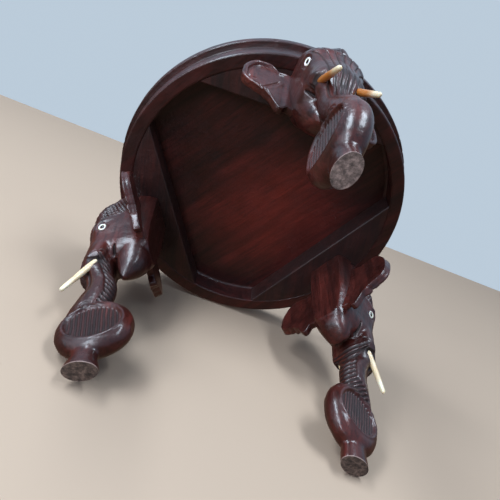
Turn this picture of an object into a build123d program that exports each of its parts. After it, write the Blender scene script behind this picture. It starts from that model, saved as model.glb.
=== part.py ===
"""A three-legged stool: a turned, hollowed seat on three legs carved as elephants' heads.

Each leg is one piece of wood. The head hangs under the rim with its brow outwards, the trunk runs down
and curls into a thick coil, and a short peg under the coil stands on the floor. The ears are let into
slots, the tusks into bored sheaths, and the eyes are inlaid rings. Each leg is dowelled to a corner
block, and the three blocks are glued into the hollow under the seat.

The model is drawn about the seat's axis. Its origin is the middle of the footprint, on the floor, so
every piece moves there as it is written.
"""

import os
from math import cos, radians, sin, sqrt

from build123d import *

# ---------------------------------------------------------------- driving sizes, in millimetres
STOOL_HEIGHT = 275.0
SEAT_RADIUS = 150.0
SEAT_THICKNESS = 38.0

RECESS_DEPTH = 24.0  # the hollow under the seat
RING_WIDTH = 13.6  # the flat face of the ring round the hollow
LIP_HEIGHT = 11.0  # the band round the seat's top edge
LIP_ROUND = 2.4
COVE_HEIGHT = 11.0  # the groove under the lip
COVE_DEPTH = 8.0
RIM_STEP = 4.4  # how far the lower band stands in from the lip
BAND_ROUND = 2.0

BLOCK_REACH = 27.3  # from a leg's own axis in to its corner block's straight edge
BLOCK_ROUND = 1.5

LEG_INSET = 30.0  # from the seat's edge to a leg's own axis
TRIM = 5.0  # spare length at each end of a leg, cut off level once it is set
DOWEL_RADIUS = 5.0
DOWEL_IN_LEG = 22.0
DOWEL_IN_BLOCK = 18.0
DOWEL_PLACES = {"inner": -8.5, "outer": 5.0}  # each dowel's place along the leg's X
FIT = 0.1  # clearance all round a glued fit

# How each leg was set by hand: its place round the seat, then how far it is turned, shifted to its
# left, leaning sideways and raked inwards at the foot, in degrees and millimetres.
LEGS = {
    "front": (-90.0, 8.0, 5.9, -1.2, -2.2),
    "right": (30.0, 0.4, -0.9, 4.1, -0.3),
    "left": (150.0, 1.7, -0.4, 0.7, 2.5),
}
SIDES = {"left": 1, "right": -1}  # the elephant's own left and right

# The leg, in its own frame: X outwards, Y to the elephant's left, Z = 0 at the seat's underside.
HEAD_BACK = -14.0  # the flat back of the neck
BACK_SHARE = 0.88  # its width, as a share of the head's
HEAD_LEVELS = [  # drop below the seat, where the sides start to round, reach of the brow, half width
    (-TRIM, 18.0, 38.0, 24.5),
    (14.0, 24.0, 43.0, 26.0),
    (34.0, 31.0, 48.5, 26.4),
    (50.0, 32.0, 48.5, 26.2),
    (62.0, 32.0, 47.5, 24.4),
    (84.0, 31.0, 45.0, 21.6),
]
JAW_LEVELS = [  # drop, centre, half length, half width
    (70.0, 2.0, 15.5, 22.0),
    (92.0, 1.5, 14.0, 15.8),
    (106.0, 3.0, 10.0, 10.4),
    (116.0, 6.5, 4.6, 5.0),
]
TRUNK_DROP = 76.0  # where the trunk leaves the face
TRUNK_LEVELS = [  # share of the way down to the coil's middle, centre, half length, half width
    (0.0, 31.5, 15.0, 21.5),
    (0.14, 32.0, 14.5, 22.0),
    (0.26, 32.0, 15.0, 21.0),
    (0.36, 29.0, 15.5, 17.0),
    (0.43, 25.5, 14.8, 14.2),
    (0.54, 22.7, 13.6, 12.6),
    (0.66, 25.5, 15.0, 12.0),
    (0.82, 29.5, 16.0, 10.0),
]
MOUTH = [(18.5, 80.0), (12.5, 110.0), (16.5, 110.0)]  # the gape, as X and drop
MOUTH_HALF_WIDTH = 27.0
COIL_X = 17.5
COIL_RISE = 46.0  # from the floor to the coil's middle
COIL_HALF_LENGTH = 30.5
COIL_HALF_HEIGHT = 33.0
COIL_HALF_WIDTH = 11.0
COIL_ROUND = 7.5
DISH_X = 17.0  # the sunk face on each side of the coil
DISH_LIFT = 2.0  # its middle above the coil's
DISH_RADIUS = 20.5
DISH_DEPTH = 2.0
PEG_X = 18.0
PEG_TOP_RISE = 31.0  # heights above the floor
PEG_WAIST_RISE = 16.0
PEG_TOP = (14.5, 10.0)  # half length and half width
PEG_WAIST = (12.0, 8.8)
PEG_SOLE = (14.0, 9.3)

TUSK_X, TUSK_Y, TUSK_DROP = 31.0, 16.0, 109.0  # where a tusk comes out of its sheath
TUSK_RAKE = 28.0  # how far the tusk points outwards from straight down
TUSK_LENGTH = 46.0  # outside the sheath
TUSK_ROOT = 8.0  # inside it
TUSK_RADIUS = 2.9
TUSK_TIP_RADIUS = 2.0
SHEATH_RADIUS = 7.5
SHEATH_LENGTH = 34.0
SHEATH_RAKE = 8.0

TUSK_SETS = {  # tusks driven in off true: shift in X and Y, then splay outwards and rake, in degrees
    ("front", "left"): (5.0, -6.0, 9.0, -10.5),
    ("left", "left"): (-2.0, 0.0, 0.0, 0.0),
}

EYE_X, EYE_Y, EYE_DROP = 31.0, 24.2, 60.0
EYE_TURN = 4.0  # the eye looks this far forwards of straight sideways
EYE_DIP = 20.0  # and this far down
EYE_RADIUS = 3.9
PUPIL_RADIUS = 2.0
EYE_THICKNESS = 2.4
EYE_PROUD = 0.6

EAR_X, EAR_DROP = -2.0, 50.0  # a point on the ear's middle plane
EAR_TILT = 10.0  # the top of the ear leans outwards
EAR_THICKNESS = 7.0
EAR_ROUND = 1.6
EAR_ROOT = 13.0  # the bottom of its slot, from the leg's middle plane
EAR_NECK = 22.0  # where the blade starts to spread, at the side of the head
EAR_EAVES = 38.0  # clear of the head's side, where the slot's cutter ends
EAR_TOP = 34.0
EAR_BOTTOM = -34.0
EAR_CORNER = (56.0, 36.0)
EAR_TIP = (66.0, 8.0)
EAR_HEEL = (62.0, -8.0)
EAR_BAY = (47.0, -18.0)
EAR_LOBE = (33.0, -42.0)
EAR_HOLLOW_RADIUS = 60.0  # the front of the ear is hollowed along its height
EAR_HOLLOW_Y = 45.0
EAR_HOLLOW_DEPTH = 2.2

# ---------------------------------------------------------------- sizes that follow
UNDERSIDE = STOOL_HEIGHT - SEAT_THICKNESS
RING_OUTER = SEAT_RADIUS - RIM_STEP
RING_INNER = RING_OUTER - RING_WIDTH
BAND_TOP = STOOL_HEIGHT - LIP_HEIGHT - COVE_HEIGHT
LEG_RADIUS = SEAT_RADIUS - LEG_INSET
BLOCK_CHORD = LEG_RADIUS - BLOCK_REACH
COIL_DROP = UNDERSIDE - COIL_RISE
TUSK_PLANE = Plane(
    origin=(TUSK_X, TUSK_Y, -TUSK_DROP),
    x_dir=(0, 1, 0),
    z_dir=(sin(radians(TUSK_RAKE)), 0, -cos(radians(TUSK_RAKE))),
)
SHEATH_PLANE = Plane(
    origin=(TUSK_X, TUSK_Y, -TUSK_DROP),
    x_dir=(0, 1, 0),
    z_dir=(sin(radians(SHEATH_RAKE)), 0, -cos(radians(SHEATH_RAKE))),
)
EYE_PLANE = Plane(
    origin=(EYE_X, EYE_Y, -EYE_DROP),
    x_dir=(cos(radians(EYE_TURN)), -sin(radians(EYE_TURN)), 0),
    z_dir=(
        sin(radians(EYE_TURN)) * cos(radians(EYE_DIP)),
        cos(radians(EYE_TURN)) * cos(radians(EYE_DIP)),
        -sin(radians(EYE_DIP)),
    ),
)
EAR_PLANE = Plane(
    origin=(EAR_X, 0, -EAR_DROP),
    x_dir=(0, 1, 0),
    z_dir=(cos(radians(EAR_TILT)), 0, -sin(radians(EAR_TILT))),
)


def leg_frame(name, leaning=True):
    """Where a leg's own frame lies: as it was set, or upright for the dowels, which stay plumb."""
    angle, turn, shift, lean, rake = LEGS[name]
    at_rim = Location((0, 0, UNDERSIDE), (0, 0, angle)) * Location((LEG_RADIUS, shift, 0))
    return at_rim * (Rotation(lean, rake, turn) if leaning else Rotation(0, 0, turn))


def tusk_place(name, side_name):
    """How far a tusk of the elephant's left side moves from true, turning about its root."""
    shift_x, shift_y, splay, rake = TUSK_SETS.get((name, side_name), (0.0, 0.0, 0.0, 0.0))
    root = TUSK_PLANE.origin
    moved_root = Location((root.X + shift_x, root.Y + shift_y, root.Z))
    return moved_root * Rotation(splay, -rake, 0) * Location((-root.X, -root.Y, -root.Z))


def on_side(solid, side):
    """A piece drawn on the elephant's left, or its mirror image on the right."""
    return solid if side > 0 else solid.mirror(Plane.XZ)


# ---------------------------------------------------------------- the seat and its blocks
with BuildPart() as seat:
    with BuildSketch(Plane.XZ):
        with BuildLine():
            Polyline(
                (0, UNDERSIDE + RECESS_DEPTH),
                (0, STOOL_HEIGHT),
                (SEAT_RADIUS, STOOL_HEIGHT),
                (SEAT_RADIUS, STOOL_HEIGHT - LIP_HEIGHT),
            )
            ThreePointArc(
                (SEAT_RADIUS, STOOL_HEIGHT - LIP_HEIGHT),
                (SEAT_RADIUS - COVE_DEPTH, BAND_TOP + COVE_HEIGHT / 2),
                (RING_OUTER, BAND_TOP),
            )
            Polyline(
                (RING_OUTER, BAND_TOP),
                (RING_OUTER, UNDERSIDE),
                (RING_INNER, UNDERSIDE),
                (RING_INNER, UNDERSIDE + RECESS_DEPTH),
                (0, UNDERSIDE + RECESS_DEPTH),
            )
        make_face()
    revolve(axis=Axis.Z)
    rings = seat.edges().filter_by(GeomType.CIRCLE)
    fillet(rings.filter_by(lambda ring: abs(ring.radius - SEAT_RADIUS) < FIT), LIP_ROUND)
    rings = seat.edges().filter_by(GeomType.CIRCLE)
    fillet(rings.filter_by(lambda ring: abs(ring.radius - RING_OUTER) < FIT), BAND_ROUND)

with BuildPart() as block_blank:
    half_chord = sqrt(RING_INNER**2 - BLOCK_CHORD**2)
    with BuildSketch(Plane.XY.offset(UNDERSIDE)):
        with BuildLine():
            ThreePointArc((BLOCK_CHORD, -half_chord), (RING_INNER, 0), (BLOCK_CHORD, half_chord))
            Line((BLOCK_CHORD, half_chord), (BLOCK_CHORD, -half_chord))
        make_face()
    extrude(amount=RECESS_DEPTH)
    fillet(block_blank.edges().filter_by(Axis.Y).sort_by(Axis.Z)[0], BLOCK_ROUND)


# ---------------------------------------------------------------- the leg, before it is set
trunk_run = COIL_DROP - TRUNK_DROP
trunk_levels = [(TRUNK_DROP + share * trunk_run, *ellipse) for share, *ellipse in TRUNK_LEVELS]
peg_levels = [
    (UNDERSIDE - PEG_TOP_RISE, PEG_X, *PEG_TOP),
    (UNDERSIDE - PEG_WAIST_RISE, PEG_X, *PEG_WAIST),
    (UNDERSIDE, PEG_X, *PEG_SOLE),
    (UNDERSIDE + TRIM, PEG_X, *PEG_SOLE),
]


def limb(levels):
    """A round limb lofted through level ellipses."""
    with BuildPart() as body:
        for drop, centre, half_length, half_width in levels:
            with BuildSketch(Plane.XY.offset(-drop)):
                with Locations((centre, 0)):
                    Ellipse(half_length, half_width)
        loft()
    return body.part


with BuildPart() as head:
    for drop, round_from, brow, half_width in HEAD_LEVELS:
        with BuildSketch(Plane.XY.offset(-drop)):
            with BuildLine():
                nose = EllipticalCenterArc(
                    (round_from, 0), brow - round_from, half_width, start_angle=-90, arc_size=180
                )
                back_width = BACK_SHARE * half_width
                Polyline(nose @ 1, (HEAD_BACK, back_width), (HEAD_BACK, -back_width), nose @ 0)
            make_face()
    loft()

with BuildPart() as coil:
    with BuildSketch(Plane.XZ):
        with Locations((COIL_X, -COIL_DROP)):
            Ellipse(COIL_HALF_LENGTH, COIL_HALF_HEIGHT)
    extrude(amount=COIL_HALF_WIDTH, both=True)
    fillet(coil.edges(), COIL_ROUND)

ear_hollow_middle = EAR_PLANE.location * Location(
    (EAR_HOLLOW_Y, 0, EAR_THICKNESS / 2 - EAR_HOLLOW_DEPTH + EAR_HOLLOW_RADIUS), (90, 0, 0)
)
with BuildPart() as ear:
    with BuildSketch(EAR_PLANE):
        with BuildLine():
            Polyline(
                (EAR_NECK, EAR_BOTTOM),
                (EAR_ROOT, EAR_BOTTOM),
                (EAR_ROOT, EAR_TOP),
                (EAR_NECK, EAR_TOP),
            )
            Spline((EAR_NECK, EAR_TOP), EAR_CORNER, EAR_TIP, EAR_HEEL, tangents=[(1, 0), (-1, -1)])
            Spline(EAR_HEEL, EAR_BAY, EAR_LOBE, (EAR_NECK, EAR_BOTTOM), tangents=[(-1, -0.4), (-0.6, 1)])
        make_face()
    extrude(amount=EAR_THICKNESS / 2, both=True)
    back_to_front = ear.faces().sort_by(Axis(EAR_PLANE.origin, EAR_PLANE.z_dir))
    flats = [back_to_front[0], back_to_front[-1]]
    blade_edges = [edge for flat in flats for edge in flat.edges() if edge.geom_type == GeomType.BSPLINE]
    fillet(blade_edges, EAR_ROUND)
    with Locations(ear_hollow_middle):
        Cylinder(EAR_HOLLOW_RADIUS, 4 * EAR_TOP, mode=Mode.SUBTRACT)

with BuildPart() as ear_slot:
    with BuildSketch(EAR_PLANE):
        with Locations(((EAR_ROOT + EAR_EAVES) / 2, (EAR_TOP + EAR_BOTTOM) / 2)):
            Rectangle(EAR_EAVES - EAR_ROOT + 2 * FIT, EAR_TOP - EAR_BOTTOM + 2 * FIT)
    extrude(amount=EAR_THICKNESS / 2 + FIT, both=True)

with BuildPart() as sheath:
    with BuildSketch(SHEATH_PLANE):
        Circle(SHEATH_RADIUS)
    extrude(amount=-SHEATH_LENGTH)

with BuildPart() as tusk:
    with BuildSketch(TUSK_PLANE.offset(-TUSK_ROOT)):
        Circle(TUSK_RADIUS)
    with BuildSketch(TUSK_PLANE):
        Circle(TUSK_RADIUS)
    with BuildSketch(TUSK_PLANE.offset(TUSK_LENGTH)):
        Circle(TUSK_TIP_RADIUS)
    loft(ruled=True)
    fillet(tusk.edges().sort_by(Axis.Z)[0], TUSK_TIP_RADIUS * 0.9)

with BuildPart() as tusk_bore:
    with BuildSketch(TUSK_PLANE.offset(-TUSK_ROOT - FIT)):
        Circle(TUSK_RADIUS + FIT)
    extrude(amount=TUSK_ROOT + TUSK_LENGTH + 2 * FIT)

with BuildPart() as eye_ring:
    with BuildSketch(EYE_PLANE.offset(EYE_PROUD)):
        Circle(EYE_RADIUS)
        Circle(PUPIL_RADIUS, mode=Mode.SUBTRACT)
    extrude(amount=-EYE_THICKNESS)

with BuildPart() as eye_socket:
    with BuildSketch(EYE_PLANE.offset(EYE_PROUD - EYE_THICKNESS)):
        Circle(EYE_RADIUS + FIT)
    extrude(amount=2 * EYE_THICKNESS)

with BuildPart() as pupil:
    with BuildSketch(EYE_PLANE.offset(EYE_PROUD)):
        Circle(PUPIL_RADIUS)
    extrude(amount=-EYE_THICKNESS)

with BuildPart() as leg_blank:
    add(head.part)
    add(limb(JAW_LEVELS))
    add(limb(trunk_levels))
    add(coil.part)
    add(limb(peg_levels))
    for side in SIDES.values():
        add(on_side(sheath.part, side))
    with BuildSketch(Plane.XZ):
        with BuildLine():
            Polyline(*[(x, -drop) for x, drop in MOUTH], close=True)
        make_face()
    extrude(amount=MOUTH_HALF_WIDTH, both=True, mode=Mode.SUBTRACT)
    for side in SIDES.values():
        dish_face = Plane.XZ.offset(-side * (COIL_HALF_WIDTH - DISH_DEPTH))
        with BuildSketch(dish_face):
            with Locations((DISH_X, DISH_LIFT - COIL_DROP)):
                Circle(DISH_RADIUS)
        extrude(amount=-side * DISH_DEPTH, mode=Mode.SUBTRACT)
        for cutter in (ear_slot.part, ear.part, eye_socket.part):
            add(on_side(cutter, side), mode=Mode.SUBTRACT)


# ---------------------------------------------------------------- every piece in its place
pieces = {"seat": seat.part}
for name, (angle, *_) in LEGS.items():
    dowel_middles = [
        leg_frame(name, leaning=False) * Location((x, 0, (DOWEL_IN_BLOCK - DOWEL_IN_LEG) / 2))
        for x in DOWEL_PLACES.values()
    ]

    with BuildPart() as dowel_bores:
        with Locations(*dowel_middles):
            Cylinder(DOWEL_RADIUS + FIT, DOWEL_IN_BLOCK + DOWEL_IN_LEG + 2 * FIT)

    with BuildPart() as block:
        add(block_blank.part.rotate(Axis.Z, angle))
        add(dowel_bores.part, mode=Mode.SUBTRACT)
    pieces[f"corner_block_{name}"] = block.part

    with BuildPart() as leg:
        add(leg_blank.part.moved(leg_frame(name)))
        for side_name, side in SIDES.items():
            bore = on_side(tusk_bore.part.moved(tusk_place(name, side_name)), side)
            add(bore.moved(leg_frame(name)), mode=Mode.SUBTRACT)
        split(bisect_by=Plane.XY, keep=Keep.TOP)
        split(bisect_by=Plane.XY.offset(UNDERSIDE), keep=Keep.BOTTOM)
        add(dowel_bores.part, mode=Mode.SUBTRACT)
    pieces[f"leg_{name}"] = leg.part

    for row, middle in zip(DOWEL_PLACES, dowel_middles):
        with BuildPart() as dowel:
            with Locations(middle):
                Cylinder(DOWEL_RADIUS, DOWEL_IN_BLOCK + DOWEL_IN_LEG)
        pieces[f"dowel_{name}_{row}"] = dowel.part

    for side_name, side in SIDES.items():
        let_in = {
            "ear": ear.part,
            "tusk": tusk.part.moved(tusk_place(name, side_name)),
            "eye_ring": eye_ring.part,
            "pupil": pupil.part,
        }
        for kind, solid in let_in.items():
            pieces[f"{kind}_{name}_{side_name}"] = on_side(solid, side).moved(leg_frame(name))

# The origin is the middle of the footprint: the front leg stands out past the seat.
boxes = [piece.bounding_box() for piece in pieces.values()]
middle_x = (min(box.min.X for box in boxes) + max(box.max.X for box in boxes)) / 2
middle_y = (min(box.min.Y for box in boxes) + max(box.max.Y for box in boxes)) / 2
print(f"the seat's axis is at X {-middle_x:.2f}, Y {-middle_y:.2f}")

os.makedirs("parts", exist_ok=True)
for name, piece in pieces.items():
    placed = piece.moved(Location((-middle_x, -middle_y, 0)))
    placed.label = name
    export_step(placed, f"parts/{name}.step")
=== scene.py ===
# %% [markdown]
# # Carved elephant stool
#
# A turned hardwood seat stands on three legs carved as elephants' heads. Each trunk runs down into a
# thick coil with a short peg under it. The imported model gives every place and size. This script gives
# each piece its carved form and its finish, and sets the stool up as it lies on its side.

from math import atan2, copysign, cos, pi, radians, sin

import bmesh
import bpy
import numpy as np
from mathutils import Matrix, Vector, noise


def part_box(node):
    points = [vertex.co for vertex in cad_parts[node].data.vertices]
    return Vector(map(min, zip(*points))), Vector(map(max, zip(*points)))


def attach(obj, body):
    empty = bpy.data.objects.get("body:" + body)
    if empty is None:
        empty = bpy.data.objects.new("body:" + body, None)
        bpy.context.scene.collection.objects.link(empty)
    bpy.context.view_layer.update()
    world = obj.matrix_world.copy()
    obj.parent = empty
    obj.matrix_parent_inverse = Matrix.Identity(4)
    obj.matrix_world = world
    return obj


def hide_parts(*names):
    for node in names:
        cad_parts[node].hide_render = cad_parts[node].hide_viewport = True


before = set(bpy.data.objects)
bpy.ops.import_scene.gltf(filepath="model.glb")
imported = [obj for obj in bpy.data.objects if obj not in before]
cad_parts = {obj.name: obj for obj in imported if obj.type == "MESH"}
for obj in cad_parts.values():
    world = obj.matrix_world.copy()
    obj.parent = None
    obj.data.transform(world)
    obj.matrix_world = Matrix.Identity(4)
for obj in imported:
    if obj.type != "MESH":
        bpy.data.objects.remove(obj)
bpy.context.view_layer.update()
seat_low, seat_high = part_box("seat")
AXIS = (seat_low + seat_high) / 2
MM = 0.001
UNDERSIDE = seat_low.z
print("seat axis", [round(value, 4) for value in AXIS.xy], "underside at", round(UNDERSIDE, 4))

# %% [markdown]
# ## The legs' places
#
# The carver set each leg by eye, so each has its own small turn, shift and lean. One leg could be made
# and copied twice round the seat, but no two of them match. So each is made in a frame of its own and
# moved to its place at the end. That frame has X outwards, Y to the elephant's left, and the drop
# counts down from the seat's underside, all in millimetres.

# %% each leg's own frame
LEG_RADIUS = 120.0
LEGS = {  # place round the seat, turn, shift to its left, sideways lean and rake, in degrees and mm
    "front": (-90.0, 8.0, 5.9, -1.2, -2.2),
    "right": (30.0, 0.4, -0.9, 4.1, -0.3),
    "left": (150.0, 1.7, -0.4, 0.7, 2.5),
}
SIDES = {"left": 1, "right": -1}


def leg_matrix(name):
    """From a leg's own millimetres to the row frame's metres."""
    angle, turn, shift, lean, rake = LEGS[name]
    at_seat = Matrix.Translation((AXIS.x, AXIS.y, UNDERSIDE))
    at_rim = Matrix.Rotation(radians(angle), 4, "Z") @ Matrix.Translation(
        (LEG_RADIUS * MM, shift * MM, 0)
    )
    leaning = (
        Matrix.Rotation(radians(lean), 4, "X")
        @ Matrix.Rotation(radians(rake), 4, "Y")
        @ Matrix.Rotation(radians(turn), 4, "Z")
    )
    return at_seat @ at_rim @ leaning @ Matrix.Scale(MM, 4)


print("legs:", ", ".join(LEGS))


# %% [markdown]
# ## Carver's tools
#
# A real leg is sawn out, rasped round and then cut with gouges. It could be sculpted by hand here too,
# but a script can't repeat a hand's strokes. So the rough form is built of closed tubes. A Remesh
# modifier joins them into one skin, and a Smooth modifier rounds off where they meet. Then the carving
# moves the skin's points in and out along their normals, as a chisel does.

# %% closed tubes
def tube(rough, levels, segments, place):
    """A closed tube of rings. place(level, angle) gives each point of it."""
    ring = bmesh.ops.create_circle(rough, cap_ends=True, segments=segments, radius=1.0)["verts"]
    points = list(ring)
    edges = list({edge for vert in ring for edge in vert.link_edges})
    for _ in range(1, levels):
        made = bmesh.ops.extrude_edge_only(rough, edges=edges)["geom"]
        ring = [item for item in made if isinstance(item, bmesh.types.BMVert)]
        bmesh.ops.translate(rough, verts=ring, vec=(0, 0, 1))
        fresh = set(ring)
        edges = [
            item
            for item in made
            if isinstance(item, bmesh.types.BMEdge) and set(item.verts) <= fresh
        ]
        points += ring
    bmesh.ops.contextual_create(rough, geom=edges)
    for vert in points:
        vert.co = place(round(vert.co.z), atan2(vert.co.y, vert.co.x))


def smooth_levels(table, count):
    """Rows of a table of levels, filled in along a smooth curve."""
    rows = np.array(table, float)
    places = np.linspace(0, len(rows) - 1, count)
    low = np.clip(places.astype(int), 0, len(rows) - 2)
    part = (places - low)[:, None]
    before = rows[np.clip(low - 1, 0, None)]
    after = rows[np.clip(low + 2, None, len(rows) - 1)]
    here, there = rows[low], rows[low + 1]
    slope_a, slope_b = (there - before) / 2, (after - here) / 2
    return (
        here * (1 + 2 * part) * (1 - part) ** 2
        + slope_a * part * (1 - part) ** 2
        + there * part**2 * (3 - 2 * part)
        + slope_b * part**2 * (part - 1)
    )


print("half way up a smooth step from 0 to 1:", smooth_levels([(0.0,), (1.0,)], 3)[1, 0])


# %% limbs, joined into one skin
def limb(rough, table, count=24, segments=48, roundness=1.0):
    """A round limb. Each row is drop, centre, half length and half width."""
    rows = smooth_levels(table, count)

    def place(level, angle):
        drop, centre, half_length, half_width = rows[level]
        along = copysign(abs(cos(angle)) ** roundness, cos(angle))
        across = copysign(abs(sin(angle)) ** roundness, sin(angle))
        return Vector((centre + half_length * along, half_width * across, -drop))

    tube(rough, count, segments, place)


def joined(rough, name, voxel, rounds):
    """The rough tubes as one skin, voxel by voxel, smoothed."""
    mesh = bpy.data.meshes.new(name)
    bmesh.ops.recalc_face_normals(rough, faces=rough.faces)
    rough.to_mesh(mesh)
    rough.free()
    piece = bpy.data.objects.new(name, mesh)
    bpy.context.collection.objects.link(piece)
    remesh = piece.modifiers.new("one skin", "REMESH")
    remesh.mode = "VOXEL"
    remesh.voxel_size = voxel
    smooth = piece.modifiers.new("soft", "SMOOTH")
    smooth.factor = 0.5
    smooth.iterations = rounds
    done = bpy.data.meshes.new_from_object(piece.evaluated_get(bpy.context.evaluated_depsgraph_get()))
    bpy.data.objects.remove(piece)
    bpy.data.meshes.remove(mesh)
    return done


def points_of(mesh):
    """A mesh's points and normals as arrays."""
    points = np.empty(len(mesh.vertices) * 3)
    normals = np.empty(len(mesh.vertices) * 3)
    mesh.vertices.foreach_get("co", points)
    mesh.vertex_normals.foreach_get("vector", normals)
    return points.reshape(-1, 3), normals.reshape(-1, 3)


def set_points(mesh, points):
    mesh.vertices.foreach_set("co", np.ascontiguousarray(points, float).ravel())
    mesh.update()


print("tools ready")


# %% strokes of the chisel
def ramp(value, start, end):
    """0 before start, 1 after end, smooth between."""
    part = np.clip((value - start) / (end - start), 0, 1)
    return part * part * (3 - 2 * part)


def window(value, low, high, soft):
    """1 between low and high, fading over soft on each side."""
    return ramp(value, low - soft, low + soft) * (1 - ramp(value, high - soft, high + soft))


def furrows(place, pitch, sharp):
    """1 at the bottom of each furrow, 0 on the ridges between."""
    return ((1 + np.cos(2 * pi * place / pitch)) / 2) ** sharp


def hump(points, middle, radius):
    """1 at the middle, fading to 0 about a radius away."""
    away = np.linalg.norm(points - np.array(middle), axis=1)
    return np.exp(-((away / radius) ** 2) * 2)


def ridge(value, width):
    """1 where value is 0, fading out on both sides of it."""
    return np.exp(-((value / width) ** 2))


def uneven(points, grain, seed):
    """Slow noise from -1 to 1, the same each time for the same seed."""
    shift = Vector((seed * 13.7, seed * 5.1, seed * 9.3))
    return np.array([noise.noise(Vector(point) / grain + shift) for point in points])


print("a furrow every 4 mm, at each millimetre:", furrows(np.arange(5), 4.0, 1.5).round(2))


# %% [markdown]
# ## An elephant's head
#
# Each leg is one piece of wood. Its head is a deep narrow box, flat at the back of the neck and rounded
# to the brow. The jaw hangs behind the trunk with a pointed lower lip, and a sheath on each cheek holds
# a tusk. A box could be cut up and pulled into these forms, but a limb that swells and bends is easier
# to set by its levels: how far down each is, where its middle is, and how long and wide it is there.
# The carver made no two coils alike, so each leg has its own.

# %% the levels of a leg
HEAD = [  # drop, back, where the sides start to round, brow, half width
    (-5, -17, 18, 38, 24.5),
    (8, -18, 22, 41.5, 25.6),
    (20, -18, 26, 45, 26.3),
    (34, -18, 31, 48.3, 26.8),
    (50, -18, 32, 48.7, 26.6),
    (62, -18, 32, 47.7, 25),
    (74, -17.5, 31, 46.2, 22.6),
    (84, -15, 30, 44.6, 21.2),
    (90, -10, 28, 40, 17.5),
    (94.5, -2, 24, 32, 9),
]
JAW = [  # drop, centre, half length, half width
    (64, 1.6, 15, 18.6),
    (74, 1.6, 15, 20.4),
    (84, 1.7, 15.3, 18.9),
    (94, 1.6, 14.2, 15.6),
    (103, 2.4, 11.6, 11.8),
    (110, 4.2, 8, 8.2),
    (115.5, 5.8, 4.2, 4.4),
    (118.4, 6.8, 1.3, 1.3),
]
JAW_FREE_FROM = 84.0  # the drop below which the jaw is clear of the head
JAW_SHARES = {"front": 0.94, "right": 0.68, "left": 1.0}  # how long each jaw is below the mouth's corner
JAW_TIPS = {"front": 1.0, "right": 1.9, "left": 1.0}  # how blunt its tip is
TRUNK = [  # drop, centre, half length, half width
    (66, 30, 12, 17),
    (76, 31.5, 14.6, 21),
    (92, 32.2, 14.2, 21.6),
    (106, 32.2, 14.8, 20.6),
    (117.4, 29, 15.3, 16.8),
    (125.5, 25.5, 14.6, 14),
    (138, 22.9, 13.4, 12.4),
    (152, 25.5, 14.8, 11.8),
    (168, 29.5, 15.6, 10),
    (178, 30, 14.5, 7.6),
]
PEG = [  # drop, centre, half length, half width
    (198, 18, 14.4, 9.6),
    (206, 18, 14.2, 9.8),
    (220, 18, 12.1, 8.8),
    (232, 18, 13.4, 9.2),
    (237, 18, 13.9, 9.3),
    (243, 18, 14, 9.3),
]
PEG_SHARES = {"front": (0.98, 0.9), "right": (1.0, 1.0), "left": (0.84, 1.0)}  # at the waist, the sole
COIL_MIDDLE, COIL_REACH = (17.5, 191.0), (30.3, 32.8)  # x, drop
COILS = {  # each coil's extra reach at the rear, below, and below in front
    "front": (0.0, 0.0, 0.0),
    "right": (0.0, 1.0, 4.0),
    "left": (2.0, -4.5, -1.0),
}
TRUNK_SHIFTS = {"front": (0.0, 0.0), "right": (3.0, 4.5), "left": (0.0, 1.8)}  # at its waist, above it
NECK_PLATE = -14.0  # where the back of the neck is cut flat, in x

print("levels:", len(HEAD), "of the head,", len(JAW), "of the jaw,", len(TRUNK), "of the trunk")


# %% head and coil
def head(rough):
    """A deep narrow box, square at the back and round towards the brow."""
    count = 48
    rows = smooth_levels(HEAD, count)

    def place(level, angle):
        drop, back, round_from, brow, width = rows[level]
        along, across = cos(angle), sin(angle)
        if along > 0:
            return Vector((round_from + (brow - round_from) * along, width * across, -drop))
        share = abs(along) ** 0.45
        y = width * copysign(abs(across) ** 0.45, across) * (1 - 0.12 * share)
        return Vector((round_from - (round_from - back) * share, y, -drop))

    tube(rough, count, 96, place)


def coil(rough, rear, below, ahead):
    """The curled end of the trunk: a thick disc with a well rounded rim."""
    half = [  # share of the way in to the middle, and half the thickness there
        (0.0, 0.0),
        (0.0, 2.4),
        (0.03, 4.8),
        (0.085, 7.2),
        (0.16, 9.2),
        (0.25, 10.5),
        (0.34, 10.9),
        (0.5, 11.0),
        (0.995, 11.0),
    ]
    count = 80
    rows = smooth_levels([(inward, -y) for inward, y in half[:0:-1]] + half, count)

    def place(level, angle):
        inward, y = rows[level]
        along, up = cos(angle), sin(angle)
        reach_x = COIL_REACH[0] + rear * max(-along, 0)
        reach_z = COIL_REACH[1] + (below + ahead * max(along, 0)) * max(-up, 0)
        x = COIL_MIDDLE[0] + reach_x * (1 - inward) * along
        return Vector((x, y, -COIL_MIDDLE[1] + reach_z * (1 - inward) * up))

    tube(rough, count, 96, place)


print("a coil reaches", COIL_REACH, "mm from its middle")


# %% sheaths
def sheath(rough, side):
    """The swelling on a cheek that ends in a collar round the tusk."""
    table = [  # drop, x, y, half length, half width
        (66, 25, 13, 3, 3),
        (74, 26, 14.6, 6, 6),
        (86, 28, 15.6, 7.2, 6.8),
        (98, 29.6, 16, 7.6, 7.2),
        (104, 30.4, 16, 8, 7.6),
        (108, 31, 16, 7.9, 7.5),
        (109.4, 31, 16, 6, 5.6),
        (109, 31, 16, 3, 3),
    ]
    count = 30
    rows = smooth_levels(table, count)

    def place(level, angle):
        drop, x, y, half_length, half_width = rows[level]
        return Vector((x + half_length * cos(angle), side * (y + half_width * sin(angle)), -drop))

    tube(rough, count, 40, place)


print("sheaths ready")


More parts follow.
